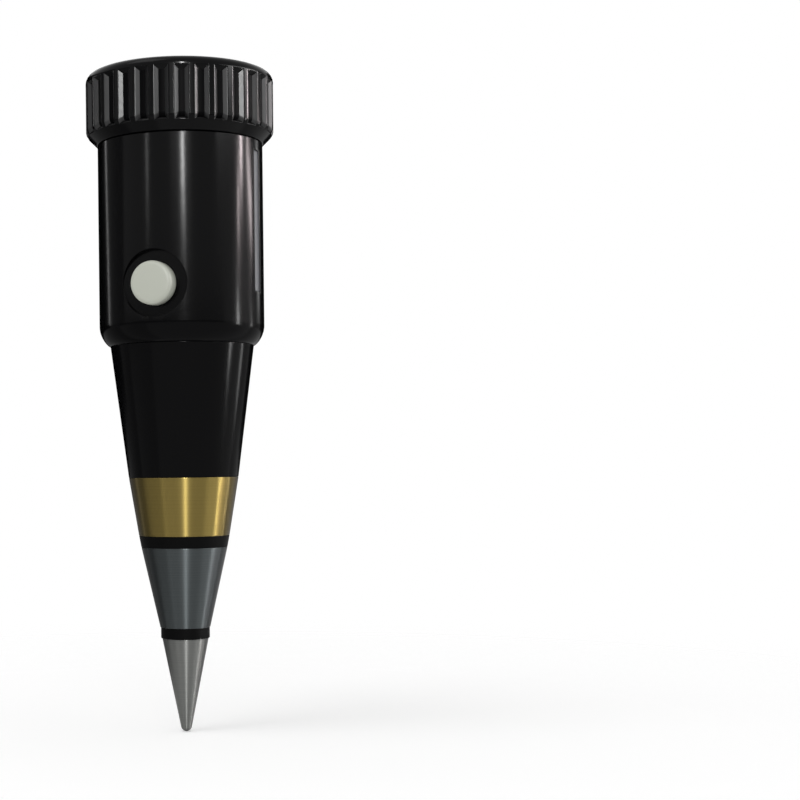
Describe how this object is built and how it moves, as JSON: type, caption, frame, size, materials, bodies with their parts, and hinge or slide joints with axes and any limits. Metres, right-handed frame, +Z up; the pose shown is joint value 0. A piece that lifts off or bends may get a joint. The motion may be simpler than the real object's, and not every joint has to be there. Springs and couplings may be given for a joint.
{
  "type": "soil acidity and moisture meter",
  "caption": "Hand-held soil meter: cone probe of stacked metal electrodes under a round grip with a side push button and a glazed pointer dial in a slotted screw-on bezel.",
  "frame": {"origin": "tip of the probe, on the meter's axis", "axes": "+Z up the axis to the dial; the push button faces -Y and the foot of the dial is on that side; the shallow side recess is on +X"},
  "size_m": [0.0472, 0.0472, 0.165],
  "materials": {
    "black_plastic": "smooth moulded black plastic",
    "bezel_plastic": "satin moulded black plastic",
    "insulator_plastic": "turned dark insulating plastic",
    "button_plastic": "moulded ivory plastic",
    "tip_metal": "turned and plated steel",
    "zinc_metal": "turned grey zinc alloy",
    "brass_metal": "turned brass",
    "fastener_steel": "plated steel",
    "sleeve_plastic": "natural plastic tube",
    "board_laminate": "brown paper laminate",
    "spring_bronze": "rolled spring bronze",
    "resistor_body": "lacquered ceramic",
    "trimmer_body": "blue moulded plastic",
    "red_insulation": "red insulated wire",
    "black_insulation": "black insulated wire",
    "yellow_insulation": "yellow insulated wire",
    "chassis_plastic": "moulded pale plastic",
    "yoke_iron": "soft iron",
    "magnet_alloy": "cast magnet alloy",
    "coil_copper": "enamelled copper wire",
    "pointer_paint": "red lacquered aluminium",
    "dial_paint": "printed silver grey plate",
    "cover_metal": "reeded aluminium",
    "surround_plastic": "moulded grey plastic",
    "crystal_clear": "polished clear window",
    "gasket_rubber": "flat rubber ring"
  },
  "bodies": {
    "housing": {"tip_electrode": "tip_metal", "lower_insulator": "insulator_plastic", "zinc_electrode": "zinc_metal", "upper_insulator": "insulator_plastic", "brass_electrode": "brass_metal", "probe_cone": "black_plastic", "tie_rod": "fastener_steel", "rod_sleeve": "sleeve_plastic", "clamp_washer": "fastener_steel", "tip_terminal": "brass_metal", "clamp_nut": "fastener_steel", "zinc_stud": "brass_metal", "brass_stud": "brass_metal", "stud_sleeve": "sleeve_plastic", "grip_body": "black_plastic", "circuit_board": "board_laminate", "switch_block": "insulator_plastic", "contact_leaf": "spring_bronze", "contact_rivet": "brass_metal", "resistors": "resistor_body", "trimmer": "trimmer_body", "zinc_lead": "black_insulation", "brass_lead": "red_insulation", "tip_lead": "yellow_insulation", "terminal_pins": "brass_metal", "movement_leads": "red_insulation", "movement_chassis": "chassis_plastic", "yoke_ring": "yoke_iron", "core_magnet": "magnet_alloy", "core_supports": "chassis_plastic", "upper_bridge": "brass_metal", "lower_bridge": "brass_metal", "jewel_screws": "brass_metal", "hairsprings": "spring_bronze", "stop_pins": "fastener_steel", "dial_plate": "dial_paint", "dial_screws": "fastener_steel", "movement_cover": "cover_metal", "dial_surround": "surround_plastic"},
    "pointer": {"pointer": "pointer_paint", "pointer_arbors": "fastener_steel", "moving_coil": "coil_copper"},
    "button": {"push_button": "button_plastic"},
    "window": {"crystal": "crystal_clear", "crystal_gasket": "gasket_rubber"},
    "bezel": {"bezel_ring": "bezel_plastic"}
  },
  "joints": [
    {"name": "pointer_swing", "type": "hinge", "parent": "housing", "child": "pointer", "pos_m": [0, -0.0107, 0.1547], "axis": [0, 0, 1], "range_deg": [-14, 66], "stiffness_Nm_per_rad": 0.0000015, "deforming": ["hairsprings"]},
    {"name": "button_press", "type": "slide", "parent": "housing", "child": "button", "axis": [0, 1, 0], "range_m": [0, 0.0022], "stiffness_N_per_m": 400, "deforming": ["contact_leaf"]},
    {"name": "bezel_lift", "type": "slide", "parent": "housing", "child": "window", "axis": [0, 0, 1], "range_m": [0, 0.009]},
    {"name": "bezel_turn", "type": "hinge", "parent": "window", "child": "bezel", "pos_m": [0, 0, 0.1473], "axis": [0, 0, 1], "range_deg": [0, 2160]}
  ],
  "couplings": [
    {"joint": "bezel_turn", "follows": "bezel_lift", "rad_per_m": 4188.8}
  ]
}
